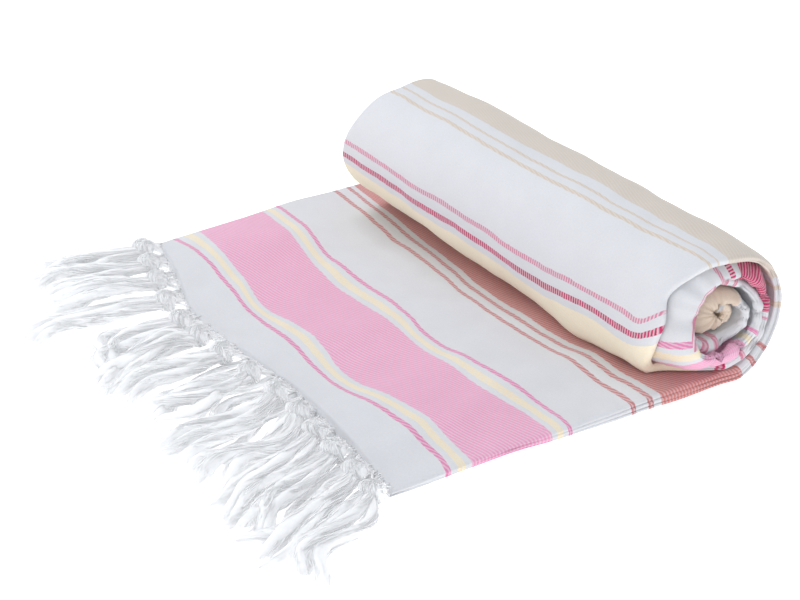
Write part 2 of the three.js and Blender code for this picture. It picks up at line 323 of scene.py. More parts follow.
def face(from_x, to_x, steps):
    """Columns from one place across to another, at the given shares of the way."""
    return from_x + (to_x - from_x) * steps


across = np.concatenate([
    face(far_edge[:, -1:], near_edge[:, :1], shares), near_edge,
    face(near_edge[:, -1:], far_edge[:, :1], 1 - shares[::-1]), far_edge,
], axis=1)
depth = np.concatenate([np.zeros(len(shares)), lip_depth, np.ones(len(shares)), lip_depth[::-1]])
depth = np.broadcast_to(depth, across.shape)


def apron_points():
    """The apron: a point lies along times the woven end's distance in front of the axis,
    and depth times the upper face's height above the floor. That height is the thickness,
    less at the side folds, plus the ripples, which fade in away from the roll."""
    rows = ~on_roll
    x = across[rows]
    front = row_along[rows][:, None] * woven_end(x)
    side = np.minimum(near[rows][:, None] - x, x - far[rows][:, None])
    thin = 1 - SIDE_THINNING * np.exp(-np.maximum(side, 0) / SIDE_FADE)
    fade = ease((front - RIPPLE_FROM) / (RIPPLE_FULL - RIPPLE_FROM))
    ripple = sum(height * bell(x - centre, width) for centre, height, width in RIPPLES)
    top = thick[rows][:, None] * (1 + (thin - 1) * fade) + ripple * fade
    return np.stack([x, -front, depth[rows] * top], axis=-1)


def roll_points():
    """The roll: each point is a radius from the axis at its turn angle. The near side
    bends inwards on a circular arc, so across a distance s past the bend's start the
    surface has turned by s over the bend's radius, and depth is measured square to it.
    A bell of the turn angle adds the sag in front and the bulge behind. No point lies
    lower than its own turn does right under the axis."""
    rows = on_roll
    x = across[rows]
    angle = np.radians(turn)[:, None]
    bend = np.maximum(curl[rows][:, None], LEAST_BEND)
    length = BENT_SHARE * roll_in[rows][:, None]
    start = near[rows][:, None] - roll_in[rows][:, None]
    past = np.maximum(x - start, 0)
    turned = bend * np.minimum(past / length, 1)
    radius = length / bend
    beyond = np.maximum(past - length, 0)
    x_bent = np.where(past > 0, start + radius * np.sin(turned) + beyond * np.cos(turned), x)
    drop = radius * (1 - np.cos(turned)) + beyond * np.sin(turned)
    raised = (1 - np.cos(angle)) / 2
    squeeze = END_SQUEEZE * ease((x - SQUEEZE_FROM) / SQUEEZE_LENGTH)
    shrink = 1 - raised * (ROLL_TAPER * x / HALF_WIDTH + squeeze)
    level = depth[rows] * thick[rows][:, None] * (1 - BEND_THINNING * turned / FULL_BEND)
    from_sag = (turn - SAG_TURN + 180) % 360 - 180
    sag = follow(SAG, 1, x) * (bell(from_sag, SAG_WIDTH) * (turn > SAG_FROM))[:, None]
    reach = follow(TURNS, 1, turn)[:, None]
    from_back = (turn - BACK_TURN + 180) % 360 - 180
    bulge = follow(BACK, 1, x) * bell(from_back, BACK_WIDTH)[:, None]
    out = (reach - drop - level * np.cos(turned)) * shrink * (1 + sag + bulge)
    out = np.maximum(out, LEAST_REACH)
    x_bent = x_bent - level * np.sin(turned)
    settled = ease((turn - CORE_FROM) / (CORE_FULL - CORE_FROM))[:, None]
    y = out * np.sin(angle) - CORE_FORWARD * settled
    z = AXIS_HEIGHT - out * np.cos(angle) - CORE_DROP * settled
    under = 360 * np.round(turn / 360)
    lowest = (AXIS_HEIGHT - follow(TURNS, 1, under))[:, None]
    z = np.maximum(z, lowest + depth[rows] * follow(TURNS, 2, under)[:, None])
    return np.stack([x_bent, y, np.maximum(z, 0)], axis=-1)


points = np.concatenate([apron_points(), roll_points()])

# Where the stripes lie: the length wound at which each known place on the cloth comes, at
# thirteen stations across, from far to near. PLACES are in millimetres from the woven end.
# Further in, where only the wound end shows, a place is given by its turn instead.
PLACES = (0, 25, 39, 86, 99.5, 146.5, 155, 165, 319, 329, 340, 385, 397, 404, 450)
COURSES = np.array([
    # across, then the length at each of the places
    (-175, -159.5, -148, -130, -81, -69, -24, -13, -5, 117, 124, 131, 173, 180.5, 187, 240),
    (-140, -171.5, -151, -138, -88, -74, -29, -19, -10, 118.5, 125.5, 132.5, 175, 182.5, 189, 240),
    (-105, -184.5, -156, -144, -96, -84, -35.5, -25, -16, 120, 127, 134, 177, 185, 192, 240),
    (-70, -194, -163, -154, -104, -88, -41, -31, -22, 121.5, 129, 135.5, 179.5, 187.5, 194, 240),
    (-35, -195.5, -167, -153, -107, -91, -45.5, -37.5, -28, 122.5, 131, 137.5, 181, 189, 196, 240),
    (0, -196, -172, -158, -110, -97, -53, -44, -34, 123, 132.5, 139, 183.5, 191.5, 198, 240),
    (25, -197, -177, -166, -114, -103, -55.5, -46.5, -36, 124.5, 133.5, 140, 185.5, 193.5, 199.5, 240),
    (50, -200, -179, -168, -118, -106, -58, -49, -38, 126, 134.5, 140.5, 186.3, 194, 200.6, 240),
    (75, -204.5, -177, -165.5, -118.5, -104, -57.5, -48.5, -38, 128, 136, 141.5, 186, 193, 198.5, 240),
    (100, -208.5, -176, -162, -120, -103, -59, -48, -37, 130, 137, 142, 186, 192.7, 197.5, 240),
    (125, -212.5, -177, -164, -115, -101, -60.5, -49, -38, 131, 137, 141.5, 186.3, 194, 200, 240),
    (138, -216, -179, -166, -115, -102, -61, -49, -38, 131, 137, 141, 187.5, 193.5, 199, 240),
    (152, -219.5, -184, -168, -116, -104, -62, -50, -38, 131, 137, 141, 177, 187, 196, 240),
], dtype=float)
WOUND_COURSES = np.array([
    # place, turn
    (489, 428), (497, 438), (538, 525), (545, 535), (555, 552), (621, 648), (636, 672),
    (683, 742), (697, 768), (764, 885), (775, 990), (800, 1075), (845, 1200), (1000, 1602),
], dtype=float)


def cloth_coordinate(x, length):
    """The place on the cloth, in millimetres from the woven end: it grows in straight
    steps between the lengths of one course and the next, read at this place across."""
    lengths = [follow(COURSES, i + 1, x) for i in range(len(PLACES))]
    lengths += [np.full_like(x, at) for at in np.interp(WOUND_COURSES[:, 1], turn, wound)]
    places = np.concatenate([PLACES, WOUND_COURSES[:, 0]])
    place = np.zeros_like(x)
    for i, between in enumerate(np.diff(places)):
        place += between * np.clip((length - lengths[i]) / (lengths[i + 1] - lengths[i]), 0, 1)
    return place


length_here = np.where(on_roll[:, None], row_length[:, None], points[:, :, 1])
cloth_place = cloth_coordinate(across, length_here)

# Handling marks: shallow troughs and ridges pressed in by the folding hands. Each runs
# from one place to another on the strip, across and length wound, in millimetres. On the
# wound end they are given by across and turn: its pleats and pinched corners.
CREASES = [
    # across, length, across, length, height, width
    (-100, 60, -60, 190, 0.9, 14), (-20, 90, 20, 230, -0.9, 16), (60, 80, 80, 220, 0.8, 13),
    (110, 100, 120, 220, -0.8, 10), (150, 120, 140, 200, 0.8, 7), (10, -60, -20, -190, 1.2, 12),
    (100, -40, 110, -200, 1.4, 11), (-90, -30, -110, -170, -0.9, 12), (40, -20, 60, -110, 0.9, 10),
    (-30, 120, 60, 128, -0.5, 9), (-120, 165, -30, 172, 0.5, 10), (70, 215, 135, 205, 0.7, 8),
]
WOUND_CREASES = (
    # across, turn, across, turn, height, width
    (176, 455, 152, 472, -2.6, 2.6), (150, 480, 176, 505, 1.0, 5), (140, 560, 170, 590, 0.9, 6),
    (140, 620, 172, 632, -0.7, 5), (150, 697, 178, 694, -2.4, 2.4), (150, 712, 178, 720, 1.4, 5),
    (155, 742, 176, 735, -1.2, 3), (140, 840, 170, 852, -0.8, 3), (150, 1192, 170, 1180, -1.6, 2.5),
)
CREASES += [(x0, np.interp(t0, turn, wound), x1, np.interp(t1, turn, wound), tall, wide)
            for x0, t0, x1, t1, tall, wide in WOUND_CREASES]


def crease_height(x, length):
    """The summed height of all creases, each a bell of the distance from its line."""
    height = np.zeros_like(x)
    for x0, l0, x1, l1, tall, wide in CREASES:
        run = np.array([x1 - x0, l1 - l0], float)
        reach = np.hypot(*run)
        run /= reach
        along_line = np.clip((x - x0) * run[0] + (length - l0) * run[1], 0, reach)
        away = np.hypot(x - x0 - along_line * run[0], length - l0 - along_line * run[1])
        height += tall * bell(away, wide)
    return height


# The rumple is this much weaker inside the outer turn. The strip lies flat and smooth
# underneath, up to SMOOTH_UNTIL degrees, and from INNER_FACE on depth is the inner face.
INNER_RUMPLE, SMOOTH_UNTIL, INNER_FACE = 0.6, 40.0, 0.99
# Pleats are full this many millimetres into the curl, and at this curl in radians
PLEATS_FULL, FULL_CURL = 14.0, 1.05
TINY = 1e-9


def rumple(x, length):
    """Uneven hand of the cloth: three sets of crossed waves, 27 to 96 mm long across."""
    return (0.30 * np.sin(x / 9.1 + np.sin(length / 23.0)) * np.sin(length / 31.0 + 0.7)
            + 0.22 * np.sin(x / 15.3 - length / 12.7 + 1.9) + 0.12 * np.sin(x / 4.3 + length / 7.9))


def unit(vectors):
    """The vectors, each over its own length."""
    return vectors / np.maximum(np.linalg.norm(vectors, axis=-1, keepdims=True), TINY)


def outward(grid):
    """The direction square to the grid at each point, facing out of the strip."""
    along_loop = np.roll(grid, -1, axis=1) - np.roll(grid, 1, axis=1)
    along_rows = np.gradient(grid, axis=0)
    return unit(np.cross(along_rows, along_loop))


def pleats():
    """Gathers where the near side curls in: waves round the roll, nine and seventeen to
    a turn, growing with the curl and towards the fold."""
    angle = np.radians(row_turn)[:, None]
    past = across - near[:, None] + roll_in[:, None]
    gather = ease(past / PLEATS_FULL) * (curl / FULL_CURL)[:, None]
    return gather * (0.55 * np.sin(9 * angle + np.sin(2.6 * angle)) + 0.45 * np.sin(17 * angle))


softened = np.where(row_turn > 360, INNER_RUMPLE, 1.0)[:, None]
lift = crease_height(across, length_here) + rumple(across, length_here) * softened + pleats()
flat_side = (~on_roll | (row_turn < SMOOTH_UNTIL))[:, None] & (depth == 0)
inner_side = on_roll[:, None] & (depth > INNER_FACE)
lift = np.where(flat_side, 0, lift) * np.where(inner_side, -1.0, 1.0)
points = points + outward(points) * lift[..., None]
points[..., 2] = np.maximum(points[..., 2], 0)


def strip_mesh(name, grid, u, v, fold):
    """A closed mesh over rows of loops, its two ends closed by a ladder of faces between
    the loop's two sides. u and v, in millimetres, become its UV map in metres, and
    fold an attribute."""
    count, size = grid.shape[:2]
    i, j = np.meshgrid(np.arange(count - 1), np.arange(size), indexing="ij")
    k = (j + 1) % size
    quads = np.stack([i * size + j, (i + 1) * size + j, (i + 1) * size + k, i * size + k], -1)
    rung = np.arange(1, size // 2 - 1)
    tip = size - (LIP_STEPS * LIPS + LIPS) // 2
    foot = tip - size // 2
    cap = np.stack([(tip + rung) % size, (tip + rung + 1) % size,
                    (tip - rung - 1) % size, (tip - rung) % size], -1)
    ends = np.array([(tip, tip + 1, tip - 1), (foot, foot + 1, foot - 1)])
    last = (count - 1) * size
    faces = (quads.reshape(-1, 4).tolist() + cap.tolist() + (last + cap[:, ::-1]).tolist()
             + ends.tolist() + (last + ends[:, ::-1]).tolist())
    mesh = bpy.data.meshes.new(name)
    mesh.from_pydata((grid.reshape(-1, 3) * MM).tolist(), [], faces)
    layer = mesh.uv_layers.new(name="cloth")
    corners = np.empty(len(mesh.loops), np.int64)
    mesh.loops.foreach_get("vertex_index", corners)
    uv = np.stack([u.ravel(), v.ravel()], -1)[corners] * MM
    layer.data.foreach_set("uv", uv.astype(np.float32).ravel())
    lip = mesh.attributes.new("fold", "FLOAT", "POINT")
    lip.data.foreach_set("value", fold.astype(np.float32).ravel())
    mesh.polygons.foreach_set("use_smooth", np.ones(len(mesh.polygons), bool))
    mesh.update()
    piece = bpy.data.objects.new(name, mesh)
    bpy.context.collection.objects.link(piece)
    return piece


# Colours of the dyed yarns, as linear red, green and blue, two of them lightened with
# painted light as noted below, and the hatch: how much of the undyed crossing yarn shows
# as fine diagonal lines, or as ticks above TICKS_FROM.
WHITE, UNDYED = (0.75, 0.755, 0.78), (0.84, 0.84, 0.86)
PINK, PINK_LINE = (0.86, 0.36, 0.56), (0.78, 0.24, 0.45)
# The second yellow is the same dye as YELLOW made lighter: painted light, standing in for the light
# that the shaded band on the roll's lower front lacks.
YELLOW, YELLOW_PAINTED_LIT = (0.90, 0.78, 0.56), (0.97, 0.87, 0.65)
CORAL, CORAL_LINE = (0.64, 0.22, 0.20), (0.58, 0.22, 0.22)
# The core's beige is the cloth's own beige colour, made lighter with painted light where the wound
# core lies in shade.
BEIGE, BEIGE_LINE, CORE_BEIGE_PAINTED_LIT = (0.69, 0.61, 0.53), (0.68, 0.58, 0.48), (0.82, 0.67, 0.53)
CRIMSON, ROSE = (0.55, 0.018, 0.12), (0.68, 0.25, 0.36)
STRIPES = (
    # start and end from the woven end in millimetres, colour, hatch
    (23.5, 26.5, PINK_LINE, 0.5), (30.5, 35.5, YELLOW, 0.4), (39, 86, PINK, 0.5),
    (90, 94.5, YELLOW, 0.4), (98, 101, PINK_LINE, 0.5),
    (145, 148, CORAL_LINE, 0.5), (153.5, 156.5, CORAL_LINE, 0.5), (160.5, 212, CORAL, 0.4),
    (218, 221, CORAL_LINE, 0.35), (227, 230, CORAL_LINE, 0.35),
    (252, 255.5, BEIGE_LINE, 0.3), (263, 266.5, BEIGE_LINE, 0.3), (273, 319, BEIGE, 0.2),
    (327.5, 330.2, BEIGE_LINE, 0.4), (338.5, 341.2, BEIGE_LINE, 0.4),
    # The wide band from 404 to 446 is the yellow dye lightened with painted light, for the shaded
    # lower front of the roll.
    (383, 386.5, ROSE, 0.7), (395, 399.5, CRIMSON, 0.63), (404, 446, YELLOW_PAINTED_LIT, 0.2),
    (452, 456, CRIMSON, 0.5), (464, 467, ROSE, 0.5),
    (489, 492.5, ROSE, 0.5), (497, 538, CRIMSON, 0.42), (545, 549, CRIMSON, 0.7),
    (555, 558.5, ROSE, 0.6),
    (621, 625, PINK_LINE, 0.5), (628, 633, YELLOW, 0.3), (637, 683, PINK, 0.4),
    (686, 691, YELLOW, 0.3), (695, 698.5, PINK_LINE, 0.3),
    (759, 762, ROSE, 0.5), (765, 768, ROSE, 0.5), (771, 774, ROSE, 0.5), (777, 780, ROSE, 0.5),
    (783, 786, ROSE, 0.5), (789, 792, ROSE, 0.5), (795, 798, ROSE, 0.5),
    # The core's beige, lightened with painted light for the shaded core.
    (850, 1000, CORE_BEIGE_PAINTED_LIT, 0.15),
)
# The stripes in groups, each from one place to the next, because one ramp holds only a
# couple of hundred steps and a thin line needs one every half millimetre
GROUPS = (0.0, 120.0, 240.0, 370.0, 480.0, 600.0, 740.0, 840.0, 1000.0)


def stripe_ramp(nodes, links, place, start, end):
    """A ramp of hard steps over one group of stripes: each stripe's colour from its start,
    white again from its end. Alpha holds the stripe's hatch."""
    share = nodes.new("ShaderNodeMapRange")
    share.inputs["From Min"].default_value = start * MM
    share.inputs["From Max"].default_value = end * MM
    links.new(place, share.inputs["Value"])
    ramp = nodes.new("ShaderNodeValToRGB")
    ramp.color_ramp.interpolation = "CONSTANT"
    elements = ramp.color_ramp.elements
    elements.remove(elements[1])
    elements[0].color = (*WHITE, 0.0)
    for from_here, to_here, colour, hatch in STRIPES:
        if start <= from_here < end:
            elements.new((from_here - start) / (end - start)).color = (*colour, hatch)
            elements.new((to_here - start) / (end - start)).color = (*WHITE, 0.0)
    links.new(share.outputs["Result"], ramp.inputs["Fac"])
    return ramp.outputs["Color"], ramp.outputs["Alpha"]


def maths(nodes, links, operation, *values):
    """One math node; each value is a number or another node's output."""
    node = nodes.new("ShaderNodeMath")
    node.operation = operation
    for socket, value in zip(node.inputs, values):
        if isinstance(value, (int, float)):
            socket.default_value = value
        else:
            links.new(value, socket)
    return node.outputs[0]


def mix_colour(nodes, links, share, first, second):
    """First where share is 0 and second where it is 1; each is a colour or an output."""
    mix = nodes.new("ShaderNodeMix")
    mix.data_type = "RGBA"
    links.new(share, mix.inputs["Factor"])
    for socket, colour in ((mix.inputs["A"], first), (mix.inputs["B"], second)):
        if isinstance(colour, tuple):
            socket.default_value = (*colour, 1.0)
        else:
            links.new(colour, socket)
    return mix.outputs["Result"]


# The rose hatch woven along the fold's lip where the second turn curls in, as shares of
# the thickness and as a stretch of the cloth in metres
HATCHED_LIP, HATCHED_STRETCH, LIP_HATCH = (0.06, 0.5), (0.566, 0.628), 0.8
# Distances between lines, ticks and threads, and how far noise moves a stripe's edge, in
# metres. The noise sizes are in repeats to a metre.
TWILL_APART, TICKS_APART, THREADS_APART = 0.0020, 0.0019, 0.0007
TWILL_LEAN, TICKS_FROM, WEFT_WIDER = -0.33, 0.6, 1.15
STIR_BY, DRIFT_BY = 0.0009, 0.0024
STIR_SCALE, DRIFT_SCALE, CLOUD_SCALE, FUZZ_SCALE = 620.0, 45.0, 60.0, 900.0


def striped_cotton():
    """Flat-woven cotton: stripes along the cloth from the ramps, moved a little by noise
    so that no edge is ruled, fine diagonal lines of white in the dyed bands, short ticks of
    white across the rose and crimson ones, and a weave of crossed threads in the bump."""
    material, shader = plain_material("striped_cotton", WHITE, 0.92)
    nodes, links = material.node_tree.nodes, material.node_tree.links

    def math_of(operation, *values):
        return maths(nodes, links, operation, *values)

    place = nodes.new("ShaderNodeUVMap")
    place.uv_map = "cloth"
    split = nodes.new("ShaderNodeSeparateXYZ")
    links.new(place.outputs["UV"], split.inputs[0])
    u, v = split.outputs["X"], split.outputs["Y"]

    def noise(scale, detail=2.0):
        texture = nodes.new("ShaderNodeTexNoise")
        texture.inputs["Scale"].default_value = scale
        texture.inputs["Detail"].default_value = detail
        links.new(place.outputs["UV"], texture.inputs["Vector"])
        return texture.outputs["Fac"]

    stir, drift = noise(STIR_SCALE), noise(DRIFT_SCALE)
    waver = math_of("ADD", math_of("MULTIPLY_ADD", stir, STIR_BY, -STIR_BY / 2),
                    math_of("MULTIPLY_ADD", drift, DRIFT_BY, -DRIFT_BY / 2))
    height = math_of("ADD", v, waver)
    colour, hatch = stripe_ramp(nodes, links, height, GROUPS[0], GROUPS[1])
    for start, end in zip(GROUPS[1:], GROUPS[2:]):
        past = math_of("GREATER_THAN", height, start * MM)
        next_colour, next_hatch = stripe_ramp(nodes, links, height, start, end)
        colour = mix_colour(nodes, links, past, colour, next_colour)
        kept = math_of("MULTIPLY", math_of("SUBTRACT", 1.0, past), hatch)
        hatch = math_of("MULTIPLY_ADD", past, next_hatch, kept)
    fold = nodes.new("ShaderNodeAttribute")
    fold.attribute_name = "fold"
    on_lip = 1.0
    for value, (low_end, high_end) in ((fold.outputs["Fac"], HATCHED_LIP), (v, HATCHED_STRETCH)):
        inside = math_of("MULTIPLY", math_of("GREATER_THAN", value, low_end),
                         math_of("LESS_THAN", value, high_end))
        on_lip = math_of("MULTIPLY", on_lip, inside)
    colour = mix_colour(nodes, links, on_lip, colour, ROSE)
    hatch = math_of("MAXIMUM", hatch, math_of("MULTIPLY", on_lip, LIP_HATCH))
    sway = math_of("MULTIPLY_ADD", drift, 4.0, math_of("MULTIPLY", stir, 2.0))
    leaning = math_of("MULTIPLY_ADD", u, TWILL_LEAN, v)
    twill = math_of("MULTIPLY_ADD", leaning, 2 * math.pi / TWILL_APART, sway)
    ticks = math_of("MULTIPLY_ADD", u, 2 * math.pi / TICKS_APART, sway)
    ticked = math_of("GREATER_THAN", hatch, TICKS_FROM)
    phase = math_of("ADD", math_of("MULTIPLY", ticks, ticked),
                    math_of("MULTIPLY", twill, math_of("SUBTRACT", 1.0, ticked)))
    wave = math_of("MULTIPLY_ADD", math_of("SINE", phase), 0.5, 0.5)
    lines = math_of("MULTIPLY", math_of("POWER", wave, 1.6), hatch)
    colour = mix_colour(nodes, links, lines, colour, UNDYED)
    shade = nodes.new("ShaderNodeMapRange")
    shade.inputs["To Min"].default_value = 0.95
    shade.inputs["To Max"].default_value = 1.03
    links.new(noise(CLOUD_SCALE, detail=4.0), shade.inputs["Value"])
    fuzz = noise(FUZZ_SCALE)
    worn = nodes.new("ShaderNodeVectorMath")
    worn.operation = "SCALE"
    links.new(colour, worn.inputs[0])
    grain = math_of("MULTIPLY_ADD", fuzz, 0.1, 0.95)
    links.new(math_of("MULTIPLY", shade.outputs["Result"], grain), worn.inputs["Scale"])
    links.new(worn.outputs["Vector"], shader.inputs["Base Color"])
    warp = math_of("SINE", math_of("MULTIPLY", u, 2 * math.pi / THREADS_APART))
    weft = math_of("SINE", math_of("MULTIPLY", v, 2 * math.pi / (WEFT_WIDER * THREADS_APART)))
    ribbed = math_of("ADD", math_of("MULTIPLY", warp, weft), lines)
    bump = nodes.new("ShaderNodeBump")
    bump.inputs["Strength"].default_value = 0.4
    bump.inputs["Distance"].default_value = 0.0003
    links.new(math_of("ADD", ribbed, fuzz), bump.inputs["Height"])
    links.new(bump.outputs["Normal"], shader.inputs["Normal"])
    shader.inputs["Sheen Weight"].default_value = 0.25
    shader.inputs["Sheen Roughness"].default_value = 0.5
    shader.inputs["Specular IOR Level"].default_value = 0.2
    return material


near_columns = np.zeros(across.shape[1])
near_columns[len(shares):len(shares) + len(lip_depth)] = lip_depth
near_fold = np.broadcast_to(near_columns, across.shape)
cloth = strip_mesh("folded_striped_cloth", points, across, cloth_place, near_fold)
cloth.data.materials.append(striped_cotton())
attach(cloth, "root")
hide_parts("towel_cloth")

# The fringe: loose warp ends of both woven ends, gathered into knots about 25 mm apart,
# each with a tassel of three soft twisted locks. The upper end's tassels arch over the
# lower end's locks, which lie flat on the floor between them. Lengths are in millimetres.
KNOT_OUT, KNOT_ACROSS, KNOT_DEEP, KNOT_RISE, LOCKS_APART = 13.0, 7.0, 6.5, 8.5, 3.2
TOP_TASSELS = np.array([
    # root, then across and front of the tassel's middle, of its lower middle and of its tip
    (-172, -172, 203, -179, 222, -190, 240),
    (-150, -154, 212, -163, 234, -168, 254),
    (-125, -132, 215, -143, 240, -149, 262),
    (-100, -104, 231, -113, 263, -105, 294),
    (-75, -71, 243, -65, 261, -45, 259),
    (-50, -54, 228, -43, 262, -38, 284),
    (-27, -23, 231, -22, 258, -20, 286),
    (-2, 12, 230, 9, 258, 7, 283),
    (22, 50, 240, 42, 272, 40, 296),
    (46, 80, 245, 77, 272, 80, 300),
    (70, 100, 253, 105, 286, 111, 305),
    (94, 119, 260, 128, 284, 133, 300),
    (116, 141, 252, 150, 288, 151, 316),
    (135, 163, 254, 174, 284, 178, 302),
], dtype=float)
TOP_RISE = (12.0, 10.0, 2.4)
TOP_SPREAD = (5.5, 6.5, 7.5)
TOP_SIZE, LOW_SIZE = (2.6, 4.4, 4.8), (2.0, 3.4, 3.8)
LOW_APART, LOW_LENGTH, LOW_RISE = 9.0, 82.0, 2.2
YARN_RADIUS, YARN_STEPS, BODY_STEPS = 0.33, 20, 22
TOP_YARNS, LOW_YARNS, KNOT_YARNS, HEADING_YARNS = (5, 12), (4, 9), 40, 24
BODY_SHARE, BODY_LOBES, BODY_SIDES, BODY_LENGTH = 0.8, 0.16, 12, 0.9
# A knot's dense ball is this share of the knot, and its yarns go this share round it
KNOT_FILL, WRAP_SHARE = 0.92, 0.92
# A lock's centre line has this many times the points of its yarns, which are read off it
FINER = 4
# The fringe's heading, from inside the cloth's edge, spans these places across
HEADING_SPREAD, HEADING_FAR, HEADING_NEAR = 12.0, -178.0, 142.0
# A direction that no yarn runs along, to set a tube's ring by
RING_GUIDE = np.array([0.13, 0.21, 0.97])
chance = np.random.default_rng(11)


def smooth_route(stops, share):
    """Points of a smooth curve through stops (routes, stops, 3) at share (routes, steps):
    cubic pieces whose slope at each stop is half the step between its neighbours."""
    last = stops.shape[1] - 1
    place = np.clip(share, 0, 1) * last
    i = np.minimum(place.astype(int), last - 1)
    t = (place - i)[..., None]
    rows = np.arange(len(stops))[:, None]
    a, b = stops[rows, i], stops[rows, i + 1]
    before = stops[rows, np.maximum(i - 1, 0)]
    after = stops[rows, np.minimum(i + 2, last)]
    m, n = (b - before) / 2, (after - a) / 2
    return (a + (b - a) * (3 - 2 * t) * t * t + m * t * (1 - t) ** 2 - n * t * t * (1 - t))


root = TOP_TASSELS[:, 0]
edge = woven_end(root)
knot = np.stack([root + (TOP_TASSELS[:, 1] - root) * KNOT_OUT / (TOP_TASSELS[:, 2] - edge),
                 -(edge + KNOT_OUT), np.full_like(root, KNOT_RISE)], -1)


def top_lock_stops():
    """The four stops of each tassel's three locks: the knot, the two middles and the tip."""
    side = np.array([-1.0, 0.0, 1.0])
    stops = [knot[:, None] + np.stack([LOCKS_APART * side, -2 * np.ones(3), -np.abs(side)], -1)]
    for i, (rise, spread) in enumerate(zip(TOP_RISE, TOP_SPREAD)):
        x, front = TOP_TASSELS[:, 1 + 2 * i, None], TOP_TASSELS[:, 2 + 2 * i, None]
        apart = side * spread + chance.normal(0, 0.8, (len(root), 3))
        stops.append(np.stack([x + apart, -front + chance.normal(0, 1.2 * i + 0.5, apart.shape),
                               rise - 1.5 * np.abs(side) + 0 * apart], -1))
    return np.stack(stops, axis=2).reshape(-1, 4, 3)


def low_lock_stops():
    """The four stops of the flat locks, a pair between each two tassels."""
    pair = np.array([-0.5, 0.5])
    x = (root[1:] + root[:-1])[:, None] / 2 + pair * LOW_APART
    lean = ((TOP_TASSELS[1:, 5] + TOP_TASSELS[:-1, 5] - root[1:] - root[:-1]) / 2)[:, None]
    lean = lean + chance.normal(0, 5, x.shape)
    length = LOW_LENGTH * chance.uniform(0.85, 1.05, x.shape)
    stops = [np.stack([x + lean * share ** 1.3 + chance.normal(0, 2.5 * share, x.shape),
                       -(woven_end(x) - 1.5 + length * share), np.full_like(x, LOW_RISE)], -1)
             for share in (0.0, 0.35, 0.7, 1.0)]
    return np.stack(stops, axis=2).reshape(-1, 4, 3)


def beside(line):
    """Unit directions across and upwards of each centre line."""
    ahead = unit(np.gradient(line, axis=1))
    across_way = unit(np.stack([-ahead[..., 1], ahead[..., 0], 0 * ahead[..., 0]], -1))
    return across_way, np.cross(ahead, across_way)


def swayed(stops, steps, sway):
    """The locks' centre lines: their smooth routes, swaying sideways in one slow wave."""
    share = np.broadcast_to(np.linspace(0, 1, steps), (len(stops), steps))
    line = smooth_route(stops, share)
    return line + beside(line)[0] * (sway[:, :1] * share * np.sin(
        share * sway[:, 1:2] + sway[:, 2:3]))[..., None]


def yarn_bundle(stops, yarns, sizes, sway):
    """Centre lines of the yarns of each lock. A lock is a few strands that turn round its
    middle, a strand is nine or twelve yarns that turn round it, and every strand waves
    and every yarn wanders more towards the tip, where they fray."""
    strands, each = yarns
    lock = np.repeat(np.arange(len(stops)), strands * each)
    strand = np.repeat(np.arange(len(stops) * strands), each)
    n, count = len(lock), len(stops) * strands

    def of_strand(low_end, high_end):
        return chance.uniform(low_end, high_end, count)[strand][:, None]

    share = np.linspace(0, 1, YARN_STEPS)[None, :] * chance.uniform(0.74, 1.0, (n, 1))
    line = swayed(stops, FINER * YARN_STEPS, sway)[lock]
    place = share * (FINER * YARN_STEPS - 1)
    i = np.minimum(place.astype(int), FINER * YARN_STEPS - 2)
    rows = np.arange(n)[:, None]
    middle = line[rows, i] + (line[rows, i + 1] - line[rows, i]) * (place - i)[..., None]
    across_way, up_way = beside(middle)
    size = np.interp(share, (0, 0.5, 1), sizes)
    own = (strand % strands)[:, None] * 2 * math.pi / strands
    turned = own + of_strand(-0.3, 0.3) + share * of_strand(3.0, 6.0)
    wave = share * (2.2 * np.sin(share * of_strand(8, 16) + of_strand(0, 6.3))
                    + 1.0 * np.sin(share * of_strand(22, 36) + of_strand(0, 6.3)))
    out = 0.62 * size
    angle = chance.uniform(0, 2 * math.pi, (n, 1)) + share * of_strand(5.0, 9.0)
    from_strand = 0.5 * size * np.sqrt(chance.uniform(0.05, 1, (n, 1)))
    wander = share * chance.normal(0, 0.6, (n, 1)) * np.sin(
        share * chance.uniform(6, 26, (n, 1)) + chance.uniform(0, 6.3, (n, 1)))
    fray = share ** 3 * chance.normal(0, 3.2, (n, 1))
    sideways = out * np.cos(turned) + wave + from_strand * np.cos(angle) + wander + fray
    upwards = (0.8 * out * np.sin(turned) + 0.4 * wave + 0.8 * from_strand * np.sin(angle)
               + 0.5 * wander)
    line = middle + across_way * sideways[..., None] + up_way * upwards[..., None]
    line[..., 2] = np.maximum(line[..., 2], YARN_RADIUS)
    return line


def knot_yarns():
    """Yarns wound round each knot: circles on a squashed ball, each with its own tilt."""
    which = np.repeat(np.arange(len(knot)), KNOT_YARNS)
    n = len(which)
    around = np.linspace(0, 1, YARN_STEPS)[None, :] * 2 * math.pi * WRAP_SHARE
    around = around + chance.uniform(0, 6.28, (n, 1))
    tilt = chance.normal(0.5, 0.5, (n, 1))
    shift = chance.uniform(-0.8, 0.8, (n, 1))
    ring = np.sqrt(1 - shift ** 2)
    x = shift + 0.2 * np.sin(around * 2)
    y, z = ring * np.cos(around), ring * np.sin(around)
    x, y = x * np.cos(tilt) - y * np.sin(tilt), x * np.sin(tilt) + y * np.cos(tilt)
    ball = np.stack([x * KNOT_ACROSS, y * KNOT_DEEP, z * KNOT_DEEP], -1)
    return knot[which][:, None, :] + ball


